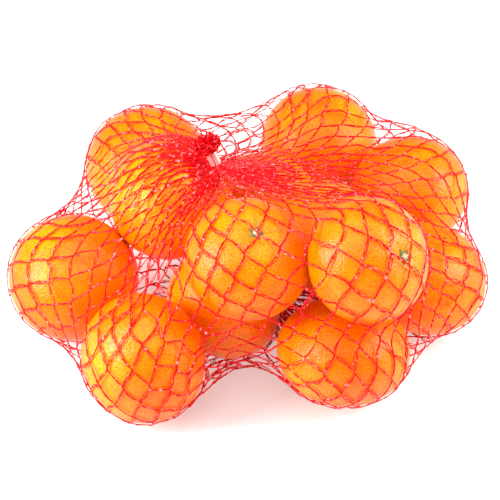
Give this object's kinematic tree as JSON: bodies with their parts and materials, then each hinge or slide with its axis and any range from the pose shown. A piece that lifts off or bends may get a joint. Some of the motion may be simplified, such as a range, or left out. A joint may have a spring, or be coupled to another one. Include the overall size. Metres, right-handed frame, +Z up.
{
  "type": "net of mandarins",
  "caption": "Small citrus fruits lying in a red knitted net that is drawn over them like a tent, bunched at the top and closed by a crimped metal clip below a tuft of cut ends.",
  "frame": {"origin": "middle of the underside, on the surface that the fruits rest on", "axes": "+Z up; +X to the right of the front view, along the longest side; -Y towards the front"},
  "size_m": [0.228, 0.2166, 0.1088],
  "materials": {
    "net": "red knitted polyethylene filament",
    "clip": "bright drawn strip",
    "peel": "waxed, pebbled citrus peel",
    "stem": "dry green-brown stem star"
  },
  "bodies": {
    "root": {"net_bag": "net", "clip": "clip"}
  },
  "joints": []
}
